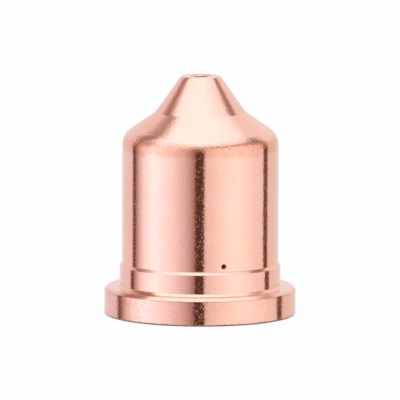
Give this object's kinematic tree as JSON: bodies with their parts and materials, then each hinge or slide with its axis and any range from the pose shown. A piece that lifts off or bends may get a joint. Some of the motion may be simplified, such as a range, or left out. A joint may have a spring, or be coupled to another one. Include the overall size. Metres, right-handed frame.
{
  "type": "plasma torch nozzle",
  "caption": "Turned copper constricting nozzle for a plasma cutting torch: flanged seat, cylindrical body, stepped conical nose with a central orifice, and a small side vent.",
  "frame": {"origin": "centre of the flange's flat seat face, where the nozzle stands", "axes": "+Z along the turning axis, towards the tip and the way the gas leaves; the side vent faces -Y, turned a little towards +X"},
  "size_m": [0.022, 0.022, 0.0275],
  "materials": {
    "copper": "bare copper, turned and satin polished"
  },
  "bodies": {
    "root": {"nozzle": "copper"}
  },
  "joints": []
}
